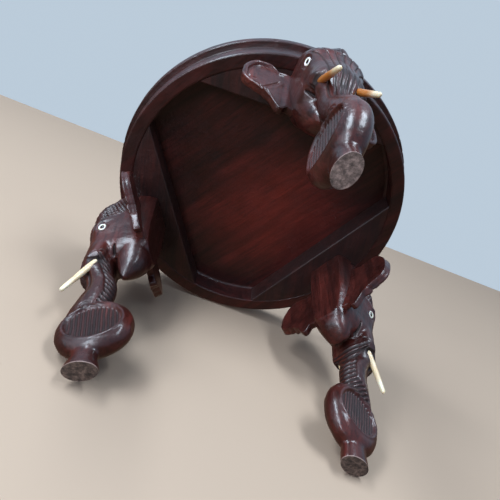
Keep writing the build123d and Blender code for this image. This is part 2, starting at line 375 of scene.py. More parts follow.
# %% one skin for each leg
def own_jaw(name):
    """The jaw's levels, as long and as blunt as this leg's."""
    free = JAW[-1][0] - JAW_FREE_FROM
    levels = []
    for drop, centre, half_length, half_width in JAW:
        below = max(drop - JAW_FREE_FROM, 0) / free
        half_width *= 1 + (JAW_TIPS[name] - 1) * below**3
        levels.append((drop - free * below * (1 - JAW_SHARES[name]), centre, half_length, half_width))
    return levels


def own_trunk(name):
    """The trunk's levels, set forwards at its waist and above it as this leg's are."""
    waist_shift, bulge = TRUNK_SHIFTS[name]
    levels = []
    for drop, x, *size in TRUNK:
        shift = waist_shift * window(drop, 112, 150, 10) + bulge * window(drop, 110, 122, 6)
        levels.append((drop, x + shift, *size))
    return levels


def own_peg(name):
    """The peg's levels, as thick at its waist and at its sole as this leg's."""
    waist, sole = PEG_SHARES[name]
    shares = (1, 1, waist, sole, sole, sole)
    return [(drop, x, share * a, share * b) for (drop, x, a, b), share in zip(PEG, shares)]


def leg_skin(name):
    """A leg before its carving: blocked out coarsely, then given a fine skin."""
    rough = bmesh.new()
    head(rough)
    limb(rough, own_jaw(name), 30, roundness=0.82)
    limb(rough, own_trunk(name), 44)
    limb(rough, own_peg(name), 24)
    coil(rough, *COILS[name])
    for side in SIDES.values():
        sheath(rough, side)
    blocked_out = joined(rough, f"blocked out {name}", 1.0, 5)
    rough = bmesh.new()
    rough.from_mesh(blocked_out)
    bpy.data.meshes.remove(blocked_out)
    return joined(rough, f"skin {name}", 0.7, 2)


leg_skins = {name: leg_skin(name) for name in LEGS}
print("skins:", {name: len(mesh.vertices) for name, mesh in leg_skins.items()})

# %% [markdown]
# ## The carving
#
# The crown has a sunk cap of combed hair. Below it long lines fan down the forehead and the front of
# the trunk. Slanting wrinkles run round the inner side of the trunk, and the coil's sunk faces are
# ribbed. The mouth, the tusks' sockets and a flat for each eye are cut last. A bump in the finish would
# be lighter, but it can't notch an outline or hold a shadow. So each kind of stroke is a formula for
# how deep the chisel goes at a point, and slow noise makes the hand unsteady.

# %% where things are on a leg, in its own millimetres and in degrees
EYE_AT, EYE_TURN, EYE_DIP = (31.0, 24.2, -60.0), 4.0, 20.0
TUSK_AT, TUSK_RAKE = (31.0, 16.0, -109.0), 28.0
TUSK_SETS = {  # tusks driven in off true: shift in X and Y, then splay outwards and rake, in degrees
    ("front", "left"): (5.0, -6.0, 9.0, -10.5),
    ("left", "left"): (-2.0, 0.0, 0.0, 0.0),
}
CAP_EDGE = [(3, 22), (10.4, 32.6), (15.4, 39), (23, 42.6), (31.5, 47.1), (40, 51), (48, 52.5)]  # x, drop
FAN = [  # drop, and how far from the middle the fan of lines reaches there
    (0, 24),
    (40, 27),
    (50, 25.5),
    (57, 23.5),
    (63, 20),
    (70, 17.5),
    (77, 16),
    (105, 15.2),
    (118, 14),
    (130, 11),
    (146, 9),
]
FAN_LINES = {  # each leg's lines, as shares of the fan, with their depth and half width
    "front": ((0.0, 0.34, 0.67, 1.0), 1.0, 0.6),
    "right": ((0.0, 0.2, 0.4, 0.6, 1.0), 1.35, 0.8),
    "left": ((0.0, 0.2, 0.4, 0.6, 1.0), 1.35, 0.8),
}
FRONT_FROM = [(0, 24), (20, 28), (40, 31), (84, 32), (105, 34), (118, 31), (138, 25), (152, 27)]  # drop, x
PANEL = [(100, 27), (110, 25), (131, 17), (148, 15), (161, 19), (172, 27)]  # drop, x
PANEL_EDGES = {
    "front": PANEL,
    "right": PANEL[:3] + [(147, 17), (153, 27), (160, 33), (172, 36)],
    "left": PANEL,
}
NOTCHES = {"front": 0.0, "right": 0.3, "left": 0.8}  # how deep the notches beside the fan are
CROWNS = {"front": -1.6, "right": 1.0, "left": 3.0}  # how much fuller each crown is
CRESTS = {"front": 4.2, "right": 0.0, "left": 0.0}  # and how much more along its middle
COMBS = {"front": 0.0, "right": 1.0, "left": 1.0}  # how far the comb reaches round to the forehead
MOUTH_CORNERS = {"front": 88.0, "right": 83.0, "left": 87.5}  # the drop where each mouth begins
MOUTH_BACK = [(85, 17.5), (94, 17.2), (106, 15.6), (115, 12.8), (121, 10), (123, -20)]  # drop, x
LIP = [(82, 11), (100, 8.6), (112, 5), (120, 1.6)]  # drop, half width
BEVEL_AT, BEVEL_FACING = (29.0, 21.5, -107.0), (-0.118, 0.931, -0.345)  # on a tusk's collar
DISH_MIDDLE, DISH_REACH = (15.8, 190.0), (23.6, 19.8)  # the coil's sunk face, x and drop
DEEP_CUT = 1.2  # past this depth a cut counts as deepest, and gets the darkest painted shade

print("the fan of lines runs down to a drop of", FAN[-1][0])


# %% frames of the eyes and tusks
def eye_frame(side):
    """The eye's own axes, Z looking out of it."""
    turn, dip = radians(EYE_TURN), radians(EYE_DIP)
    look = Vector((sin(turn) * cos(dip), side * cos(turn) * cos(dip), -sin(dip)))
    across = Vector((cos(turn), -side * sin(turn), 0))
    axes = Matrix((across, look.cross(across), look)).transposed().to_4x4()
    return Matrix.Translation((EYE_AT[0], side * EYE_AT[1], EYE_AT[2])) @ axes


def tusk_frame(name, side_name):
    """The tusk's own axes, Z running out along it."""
    shift_x, shift_y, splay, rake = TUSK_SETS.get((name, side_name), (0.0, 0.0, 0.0, 0.0))
    side = SIDES[side_name]
    place = Matrix.Translation((TUSK_AT[0] + shift_x, side * (TUSK_AT[1] + shift_y), TUSK_AT[2]))
    set_off = Matrix.Rotation(radians(side * splay), 4, "X") @ Matrix.Rotation(radians(-rake), 4, "Y")
    return place @ set_off @ Matrix.Rotation(radians(180 - TUSK_RAKE), 4, "Y")


print("the left eye looks along", [round(v, 2) for v in eye_frame(1).col[2][:3]])


# %% measuring on a leg
def spread_out(points):
    """A leg's points as x, y, drop, and distance from the middle plane."""
    return points[:, 0], points[:, 1], -points[:, 2], np.abs(points[:, 1])


def along_table(value, table):
    """A value read off a table of pairs."""
    first, second = np.array(table, float).T
    return np.interp(value, first, second)


def near_line(x, drop, start, end):
    """Distance from a straight line between two points (x, drop)."""
    run_x, run_drop = end[0] - start[0], end[1] - start[1]
    share = ((x - start[0]) * run_x + (drop - start[1]) * run_drop) / (run_x**2 + run_drop**2)
    share = np.clip(share, 0, 1)
    return np.hypot(x - start[0] - share * run_x, drop - start[1] - share * run_drop)


print("the crown's cap ends at a drop of", along_table(20.0, CAP_EDGE).round(1), "where x is 20")


# %% the crown
def crown(points, name, hand):
    """A sunk cap of combed hair, crossed by short strokes: how far it is raised, and its cuts."""
    x, y, drop, side = spread_out(points)
    cap_edge = along_table(x, CAP_EDGE) + 0.7 * uneven(points, 9.0, hand)
    on_cap = (1 - ramp(drop, cap_edge - 0.7, cap_edge + 0.5)) * ramp(x, 2, 5)
    above_edge = cap_edge - drop
    fore = ramp(x, 12, 26)
    raised = -1.1 * on_cap - 3.4 * on_cap * (1 - ramp(above_edge, 3, 14)) * fore
    full = CROWNS[name] + CRESTS[name] * ridge(y - 2, 7)
    raised += full * ridge(above_edge - 23, 10) * on_cap * fore
    raised += 1.0 * ridge(above_edge + 4.5, 4) * fore
    comb = above_edge + 0.5 * uneven(points, 6.0, hand + 3)
    cross = x + 0.5 * drop + 1.2 * uneven(points, 7.0, hand + 4)
    on_temple = np.maximum(1 - ramp(x, 24, 30), COMBS[name] * ramp(side, 15.5, 18))
    cuts = on_cap * on_temple * (0.75 * furrows(comb, 2.9, 1.5) + 0.35 * furrows(cross, 4.3, 3.0))
    cuts += 0.6 * ridge(above_edge - 0.8, 0.8) * ramp(x, 2, 5)
    return raised, cuts


print("crowns fuller by", CROWNS)


# %% the face and the trunk
def face(points, name, hand):
    """A fan of long lines down the forehead and the trunk, with small notches beside it."""
    x, y, drop, side = spread_out(points)
    spread = along_table(drop, FAN)
    place = side + 0.5 * uneven(points, 8.0, hand + 5)
    front_from = along_table(drop, FRONT_FROM)
    front = ramp(x, front_from - 2, front_from + 1) * window(drop, 3, 147, 2)
    lines, line_depth, line_width = FAN_LINES[name]
    cuts = np.zeros(len(points))
    for line in lines:
        begun = ramp(drop, 44, 48) if line == 1.0 else 1.0
        cuts += line_depth * ridge(place - line * spread, line_width) * front * begun
    between = window(drop, 100, 128, 2) * window(y, -7, 1, 1) * front
    cuts += 0.9 * furrows(y + 0.4 * uneven(points, 9.0, hand), 2.4, 1.4) * between
    notched = window(side / spread, 0.7, 0.95, 0.04) * front * window(drop, 58, 97, 2)
    return cuts + NOTCHES[name] * furrows(drop + 0.3 * x, 3.3, 2.0) * notched


def wrinkles(points, name, hand):
    """Slanting wrinkles on the inner side of the trunk, behind a smooth long panel."""
    x, _, drop, side = spread_out(points)
    panel = along_table(drop, PANEL_EDGES[name])
    mouth_back = along_table(drop, MOUTH_BACK)
    inner = (1 - ramp(x, panel - 0.9, panel + 0.7)) * window(drop, 103, 170, 3)
    inner *= ramp(x, mouth_back - 0.6, mouth_back + 0.6)
    slant = drop + 0.65 * x + 0.9 * uneven(points, 10.0, hand + 7)
    panel_line = 0.5 * ridge(x - panel, 0.9) * window(drop, 108, 166, 3) * ramp(side, 4, 8)
    return 1.35 * furrows(slant, 5.2, 1.35) * inner + panel_line


print("lines on a face:", {name: len(lines) for name, (lines, *_) in FAN_LINES.items()})


# %% the coil
def coil_face(points, normals, hand):
    """A sunk ribbed face on each side of the coil: how far it is raised, and its cuts."""
    x, _, drop, side = spread_out(points)
    from_middle = np.hypot((x - DISH_MIDDLE[0]) / DISH_REACH[0], (drop - DISH_MIDDLE[1]) / DISH_REACH[1])
    flat = ramp(np.abs(normals[:, 1]), 0.6, 0.85) * ramp(drop, 160, 164)
    sunk = 1.9 * (1 - ramp(from_middle, 0.95, 1.01))
    raised = (0.5 * ridge(from_middle - 1.07, 0.045) - sunk) * flat
    ribs = x + 0.17 * (drop - 188) + 0.35 * uneven(points, 9.0, hand + 9)
    cuts = 1.5 * furrows(ribs, 3.7, 1.1) * (1 - ramp(from_middle, 0.88, 0.95)) * flat
    ticks = window(from_middle, 1.02, 1.24, 0.04) * flat * ramp(x, 30, 33) * (1 - ramp(drop, 200, 205))
    cuts += 0.3 * furrows(drop, 4.4, 2.0) * ticks

    # small nested arcs, where the trunk's tip is tucked against the coil
    from_tip = np.hypot(x - 27.5, drop - 167)
    cuts += 0.8 * furrows(from_tip, 2.5, 1.5) * (1 - ramp(from_tip, 4.6, 6)) * ramp(side, 5, 8)
    return raised, cuts


print("a sunk face reaches", DISH_REACH, "mm from its middle")


# %% the mouth and the sockets
def mouth(points, normals, name):
    """The mouth's corner, and a trough inside the lower lip."""
    x, _, drop, side = spread_out(points)
    start = MOUTH_CORNERS[name]
    width = 0.8 + 0.07 * np.clip(drop - start, 0, 16)
    corner = 2.8 * ridge(near_line(x, drop, (15.4, start), (18.0, start + 16)), width)
    lip = along_table(drop, LIP)
    trough = (1 - ramp(side, lip - 3.0, lip - 0.9)) * ramp(normals[:, 0], 0.1, 0.4)
    trough *= ramp(drop, 88, 92) * (1 - ramp(x, 15, 18))
    return corner * ramp(side, 9, 12) + 2.6 * trough


def sockets(points, name):
    """A line above each tusk's collar, and the hollow round its root."""
    x, _, drop, side = spread_out(points)
    collar = near_line(x, drop, (22.5, 97), (36, 107))
    cuts = 0.6 * ridge(collar, 0.8) * ramp(side, 15, 18)
    for side_name in SIDES:
        root = tusk_frame(name, side_name).translation
        cuts += 3.2 * hump(points, (root.x + 0.4, root.y, root.z + 0.6), 7.0)
    return cuts


print("mouths begin at drops of", MOUTH_CORNERS)


# %% all that is cut from a leg
def carved(points, normals, name, hand):
    """How far each point of a leg moves outwards in millimetres, and how deep in a cut it lies."""
    x, _, drop, side = spread_out(points)
    crown_raised, cuts = crown(points, name, hand)
    coil_raised, coil_cuts = coil_face(points, normals, hand)
    cuts += face(points, name, hand) + wrinkles(points, name, hand) + coil_cuts
    cuts += mouth(points, normals, name) + sockets(points, name)
    cheek = 0.9 * hump(np.stack([x, side, -drop], 1), (5, 19, -76), 15)
    by_hand = 0.2 * uneven(points, 14.0, hand + 11) + 0.1 * uneven(points, 4.5, hand + 13)
    outwards = crown_raised + coil_raised + cheek + by_hand - cuts
    return outwards, np.clip(cuts, 0, DEEP_CUT) / DEEP_CUT


def planed(points):
    """Cuts the flat back of the neck, a bevel on each tusk's collar and a flat for each eye."""
    points[:, 0] = np.maximum(points[:, 0], NECK_PLATE)
    facing = np.array(BEVEL_FACING) / np.linalg.norm(BEVEL_FACING)
    for side in SIDES.values():
        over = (points - np.array(BEVEL_AT) * (1, side, 1)) @ (facing * (1, side, 1))
        on_collar = window(-points[:, 2], 99, 110.5, 0.6) * window(points[:, 0], 21, 39, 1)
        on_collar *= points[:, 1] * side > 15
        points -= (np.maximum(over, 0) * on_collar)[:, None] * (facing * (1, side, 1))
    for side in SIDES.values():
        frame_of_eye = eye_frame(side)
        look, middle = np.array(frame_of_eye.col[2][:3]), np.array(frame_of_eye.translation)
        away = points - middle
        height = away @ look
        spread = np.linalg.norm(away - height[:, None] * look, axis=1)
        flat = (1 - ramp(spread, 5.4, 7.4)) * (np.abs(height) < 6)
        points -= (height * flat)[:, None] * look
    return points


print("strokes of the leg ready")


# %% a finished piece
def trimmed(piece, height, keep_below):
    """Cuts a leg off level, and closes the cut."""
    cut = bmesh.new()
    cut.from_mesh(piece.data)
    made = bmesh.ops.bisect_plane(
        cut,
        geom=cut.verts[:] + cut.edges[:] + cut.faces[:],
        dist=1e-7,
        plane_co=(0, 0, height),
        plane_no=(0, 0, 1),
        clear_outer=keep_below,
        clear_inner=not keep_below,
    )
    rim = [item for item in made["geom_cut"] if isinstance(item, bmesh.types.BMEdge)]
    caps = bmesh.ops.holes_fill(cut, edges=rim, sides=0)["faces"]
    for face in bmesh.ops.triangulate(cut, faces=caps)["faces"]:
        face.smooth = False
    for edge in rim:
        edge.smooth = False
    bmesh.ops.recalc_face_normals(cut, faces=cut.faces)
    cut.to_mesh(piece.data)
    cut.free()


def new_piece(mesh, name, place, body="root"):
    """A finished mesh as a piece of the stool, its points moved to their place in the row frame."""
    mesh.transform(place)
    for face in mesh.polygons:
        face.use_smooth = True
    piece = bpy.data.objects.new(name, mesh)
    bpy.context.collection.objects.link(piece)
    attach(piece, body)
    return piece


def add_depth(mesh, depth):
    """Keeps a value for each point, for the finish to read: how deep it lies in a cut."""
    layer = mesh.attributes.new("cut_depth", "FLOAT", "POINT")
    layer.data.foreach_set("value", np.ascontiguousarray(depth, np.float32))


print("a piece is trimmed, moved to its place and set to ride on its body")


# %% the three legs
legs = {}
for number, name in enumerate(LEGS):
    mesh = leg_skins[name]
    points, normals = points_of(mesh)
    outwards, cut_depth = carved(points, normals, name, 1 + 20 * number)
    set_points(mesh, planed(points + normals * outwards[:, None]))
    # the finish darkens the colour by this cut depth, as painted shade
    add_depth(mesh, cut_depth)
    legs[name] = new_piece(mesh, f"carved_leg_{name}", leg_matrix(name))
    trimmed(legs[name], 0.0, keep_below=False)
    trimmed(legs[name], UNDERSIDE, keep_below=True)
    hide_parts(f"leg_{name}")
    print("leg", name, len(legs[name].data.polygons), "faces")

# %% [markdown]
# ## Ears
#
# Each ear is a thin blade let into a slot: hollowed in front, with a raised rim along its upper edge
# and a fold by the lobe. A flat outline made thick would have hard edges and nothing to hollow. So the
# blade is a tube whose rings grow from its middle out to the outline and shrink back behind it. It is
# given a fine even skin, and that skin is hollowed.

# %% an ear's blade
EAR_OUTLINE = [  # out from the head's middle plane, and up along the ear
    (13, 34),
    (22, 34.5),
    (36, 31),
    (47, 35),
    (57, 33),
    (63.5, 22),
    (66, 7),
    (64.5, -6),
    (61, -11),
    (54, -15),
    (46, -19.5),
    (39, -26),
    (35, -34),
    (31, -40),
    (27, -39),
    (24, -32),
    (13, -33),
]
EAR_MIDDLE = (34.0, 4.0)
EAR_HALF = 3.3  # half its thickness, before it is smoothed and hollowed


def ear_edge(angle):
    """The ear's outline as its distance from the middle, in a direction."""
    outline = np.array(EAR_OUTLINE) - EAR_MIDDLE
    turns = np.arctan2(outline[:, 1], outline[:, 0])
    reach = np.hypot(*outline.T)
    order = np.argsort(turns)
    return np.interp(angle, turns[order], reach[order], period=2 * pi)


def ear_skin():
    """A blade with rounded edges, in the ear's own plane: X out, Y up, Z forwards."""
    levels = [(0.02, -1.0), (0.5, -1.0), (0.95, -1.0), (0.985, -0.84), (1.0, -0.5)]
    levels += [(share, -height) for share, height in levels[::-1]]
    count = 60
    rows = smooth_levels(levels, count)
    rough = bmesh.new()

    def place(level, angle):
        share, height = rows[level]
        reach = ear_edge(angle) * min(share, 1.0)
        return Vector(
            (
                EAR_MIDDLE[0] + reach * cos(angle),
                EAR_MIDDLE[1] + reach * sin(angle),
                EAR_HALF * height,
            )
        )

    tube(rough, count, 160, place)
    return joined(rough, "ear skin", 0.62, 4)


ear_plain = ear_skin()
print("ear:", len(ear_plain.polygons), "faces")


# %% the ear's hollow, rim and fold
def ear_carving(points, normals, hand):
    """How far each point of an ear moves along its normal, in millimetres."""
    out, up = points[:, 0], points[:, 1]
    front = ramp(normals[:, 2], 0.4, 0.8)
    back = ramp(-normals[:, 2], 0.4, 0.8)
    spread = np.array(points[:, :2]) - EAR_MIDDLE
    inside = ear_edge(np.arctan2(spread[:, 1], spread[:, 0])) - np.hypot(*spread.T)
    blade = ramp(out, 24, 30)
    top = ramp(up, 2, 10)
    depth = -1.3 * front * blade * ramp(inside, 2.6, 7)
    depth += 1.9 * ramp(normals[:, 2], -0.2, 0.6) * (1 - ramp(inside, 1.5, 4.5)) * ramp(out, 36, 46)
    depth -= 0.9 * front * ridge(inside - 4.6, 1.1) * top * ramp(out, 26, 32)
    fold = (out - 37) + 0.34 * (up - 8) + 2.2 * np.sin(up / 9)
    depth -= 1.5 * front * ridge(fold, 1.5) * window(up, -30, 12, 4)
    depth += 0.7 * front * ridge(fold + 4, 2.4) * window(up, -28, 8, 5)
    slit = np.hypot((up - 0.5 - 0.1 * (out - 58)) / 1.1, np.clip(np.abs(out - 58) - 3.5, 0, None))
    depth -= 1.0 * front * ridge(slit, 1.0)
    depth -= 0.5 * back * blade * ramp(inside, 2, 9)
    depth += 0.2 * uneven(points, 9.0, hand) + 0.08 * uneven(points, 3.5, hand + 2)
    return depth


EAR_FREE_FROM, EAR_FREE = 24.0, 38.0  # where the blade leaves the head, and how far it reaches from there
EAR_SETS = {  # how far the tip is swept back, and its shares of height and reach
    ("front", "right"): (3.0, 0.93, 1.0),
    ("front", "left"): (3.0, 0.93, 0.95),
    ("left", "left"): (0.0, 0.94, 1.0),
}


def set_off(points, sweep, height, reach):
    """Sweeps an ear back and makes it smaller, as the carver left it."""
    free = np.clip(points[:, 0] - EAR_FREE_FROM, 0, None)
    points[:, 2] -= sweep * (free / EAR_FREE) ** 2
    points[:, 1] *= height
    points[:, 0] += (reach - 1) * free


print("ears set off from the others:", len(EAR_SETS))

# %% the six ears
EAR_X, EAR_DROP, EAR_TILT = -2.0, 50.0, 10.0
EAR_STAND = Matrix(((0, 0, 1, 0), (1, 0, 0, 0), (0, 1, 0, 0), (0, 0, 0, 1)))
ears = {}
for number, name in enumerate(LEGS):
    for side_name, side in SIDES.items():
        mesh = ear_plain.copy()
        points, normals = points_of(mesh)
        hand = 40 + 10 * number + 3 * side
        points += normals * ear_carving(points, normals, hand)[:, None]
        set_off(points, *EAR_SETS.get((name, side_name), (0.0, 1.0, 1.0)))
        set_points(mesh, points)
        tilt = Matrix.Rotation(radians(EAR_TILT), 4, "Y")
        place = Matrix.Translation((EAR_X, 0, -EAR_DROP)) @ tilt @ EAR_STAND
        if side < 0:
            place = Matrix.Scale(-1, 4, (0, 1, 0)) @ place
            mesh.flip_normals()
        ear = new_piece(mesh, f"carved_ear_{name}_{side_name}", leg_matrix(name) @ place)
        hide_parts(f"ear_{name}_{side_name}")
        ears[name, side_name] = ear
print("ears:", len(ears))

# %% [markdown]
# ## Tusks and eyes
#
# The tusks are worn pegs of bone, no two bent alike, driven into sockets in the cheeks. A cone would be
# too true, so each is a tube whose rings are a little uneven and drift off its line. An eye is a ring of
# bone round a dark pupil. Both are turned, so a profile is spun right round, as on a lathe.

# %% tusks
TUSK_LEVELS = [  # along, radius
    (-7, 1.6),
    (-2, 2.0),
    (3, 2.55),
    (9, 2.85),
    (18, 2.8),
    (30, 2.5),
    (41, 2.15),
    (44.6, 1.8),
    (45.6, 1.05),
    (45.95, 0.25),
]


def tusk_mesh(hand):
    """A worn bone peg, pointed at its root, with its own slight bend. Z runs out along it."""
    count = 44
    rows = smooth_levels(TUSK_LEVELS, count)
    rough = bmesh.new()

    def place(level, angle):
        along, radius = rows[level]
        lump = 1 + 0.05 * noise.noise(Vector((cos(angle), sin(angle), along / 7 + hand)))
        bend = 0.0007 * along * (along - 30) * cos(hand * 2.1)
        return Vector((radius * lump * cos(angle) + bend, radius * lump * sin(angle), along))

    tube(rough, count, 32, place)
    bmesh.ops.recalc_face_normals(rough, faces=rough.faces)
    mesh = bpy.data.meshes.new("tusk")
    rough.to_mesh(mesh)
    rough.free()
    points, _ = points_of(mesh)
    add_depth(mesh, 1 - ramp(points[:, 2], 27, 44))  # here it says how near the root a point is
    return mesh


TUSK_SHARES = {"front": 0.99, "right": 0.93, "left": 1.0}  # how much of each tusk's length is left
tusks = {}
for number, name in enumerate(LEGS):
    for side_name, side in SIDES.items():
        place = leg_matrix(name) @ tusk_frame(name, side_name)
        place = place @ Matrix.Scale(TUSK_SHARES[name], 4, (0, 0, 1))
        tusk = new_piece(tusk_mesh(3 * number + side), f"carved_tusk_{name}_{side_name}", place)
        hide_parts(f"tusk_{name}_{side_name}")
        tusks[name, side_name] = tusk
print("tusks:", len(tusks))

# %% turning
def turned(profile, steps):
    """A closed turned form from a profile of (radius, height) points."""
    form = bmesh.new()
    verts = [form.verts.new((radius, 0, height)) for radius, height in profile]
    edges = [form.edges.new(pair) for pair in zip(verts, verts[1:])]
    bmesh.ops.spin(
        form,
        geom=verts + edges,
        cent=(0, 0, 0),
        axis=(0, 0, 1),
        angle=2 * pi,
        steps=steps,
        use_merge=True,
    )
    bmesh.ops.remove_doubles(form, verts=form.verts, dist=1e-5)
    bmesh.ops.recalc_face_normals(form, faces=form.faces)
    mesh = bpy.data.meshes.new("turned")
    form.to_mesh(mesh)
    form.free()
    return mesh


print("lathe ready")

# %% eyes
EYE_RADIUS, PUPIL_RADIUS = 3.9, 2.0
RING_PROFILE = [
    (PUPIL_RADIUS + 0.05, -1.8),
    (PUPIL_RADIUS + 0.05, 0.1),
    (PUPIL_RADIUS + 0.3, 0.42),
    (PUPIL_RADIUS + 0.95, 0.58),
    (EYE_RADIUS - 0.35, 0.42),
    (EYE_RADIUS, 0.05),
    (EYE_RADIUS, -1.8),
    (PUPIL_RADIUS + 0.05, -1.8),
]
PUPIL_PROFILE = [(0, -1.8), (1.98, -1.8), (1.98, 0.0), (1.6, 0.3), (0.9, 0.5), (0, 0.58)]
eyes = {}
for name in LEGS:
    for side_name, side in SIDES.items():
        place = leg_matrix(name) @ eye_frame(side)
        for kind, profile, slot in (
            ("eye_ring", RING_PROFILE, "bone"),
            ("pupil", PUPIL_PROFILE, "black_inlay"),
        ):
            part = new_piece(turned(profile, 40), f"carved_{kind}_{name}_{side_name}", place)
            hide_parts(f"{kind}_{name}_{side_name}")
            eyes[kind, name, side_name] = part
print("eye pieces:", len(eyes))

# %% [markdown]
# ## The seat
#
# The seat is turned: a nicked lip, a cove and a plain band, with a hollow underneath. Bevels on a
# cylinder could give the edge, but one profile keeps the whole moulding in sight. It is spun in steps
# fine enough to take the small nicks round the lip and the chisel's marks on the hollow's wall.

# %% the seat's profile
SEAT_RADIUS, SEAT_THICK, RECESS = 150.0, 38.0, 24.0
RING_INNER, RING_OUTER = 132.0, 145.6


def arc(centre, radius_r, radius_h, start, end, count):
    """Points of (radius, height) along part of an ellipse, angles in degrees."""
    turn = np.radians(np.linspace(start, end, count))
    return [(centre[0] + radius_r * cos(t), centre[1] + radius_h * sin(t)) for t in turn]


def run(start, end, count):
    """Points along a straight run, the last one left out."""
    share = np.linspace(0, 1, count, endpoint=False)
    return [(start[0] + (end[0] - start[0]) * s, start[1] + (end[1] - start[1]) * s) for s in share]


profile = run((0, RECESS), (RING_INNER, RECESS), 40)
profile += run((RING_INNER, RECESS), (RING_INNER, 0.5), 12)
profile += run((RING_INNER, 0.5), (RING_INNER + 0.5, 0), 2)
profile += run((RING_INNER + 0.5, 0), (RING_OUTER - 2, 0), 6)
profile += arc((RING_OUTER - 2, 2), 2, 2, -90, 0, 7)
profile += run((RING_OUTER, 3), (RING_OUTER, 15), 8)
profile += arc((RING_OUTER - 0.9, 15), 0.9, 1, 0, 90, 4)
profile += arc((RING_OUTER - 1.2, 21.6), 2.4, 5.4, -100, -180, 8)[1:]
profile += arc((RING_OUTER - 1.2, 21.6), 2.4, 5.2, -180, -262, 8)[1:]
profile += arc((SEAT_RADIUS - 1.4, 28.4), 1.4, 1.4, -90, 0, 5)
profile += run((SEAT_RADIUS, 29.8), (SEAT_RADIUS, 35), 6)
profile += arc((SEAT_RADIUS - 2.4, 35.6), 2.4, 2.4, 0, 90, 8)
profile += run((SEAT_RADIUS - 3, SEAT_THICK), (0, SEAT_THICK), 40)
profile += [(0, SEAT_THICK)]
print("profile of the seat:", len(profile), "points")

# %% the seat, turned and worn
NICKS, ROUND_THE_LIP = 62, 942.5  # how many, and the millimetres they are spread over
mesh = turned(profile, 540)
points, normals = points_of(mesh)
radius = np.hypot(points[:, 0], points[:, 1])
around = np.arctan2(points[:, 1], points[:, 0]) * SEAT_RADIUS
height = points[:, 2]
wander = uneven(points * (1, 1, 0), 30.0, 71)
nicks = furrows(around + 3.0 * wander, ROUND_THE_LIP / NICKS, 30) * ramp(radius, 147.6, 148.6)
nicks *= window(height, 27, 32, 1.0) * ramp(uneven(points * (1, 1, 0), 16.0, 74), -0.35, 0.45)
# painted shade: a mask for the concave cove, which the finish darkens
painted_cove_shade = window(height, 16.4, 26.6, 0.5) * (1 - ramp(radius, 143.6, 144.6)) * ramp(radius, 137, 138)
on_wall = window(radius, 131, 132.6, 0.4) * window(height, 1, 23, 1)
chisel = furrows(around + 6 * wander, 7.0, 1.2) * on_wall
depth = -0.9 * nicks - 0.25 * chisel + 0.14 * (uneven(points, 11.0, 72) - 1) * ramp(radius, 120, 131)
set_points(mesh, points + normals * depth[:, None])
# the nicks and the cove are kept as cut depth, and the finish darkens them as painted shade
add_depth(mesh, np.maximum(0.8 * nicks, 0.5 * painted_cove_shade))
seat = new_piece(
    mesh,
    "turned_seat",
    Matrix.Translation((AXIS.x, AXIS.y, UNDERSIDE)) @ Matrix.Scale(MM, 4),
)
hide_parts("seat")
print("seat:", len(mesh.polygons), "faces")
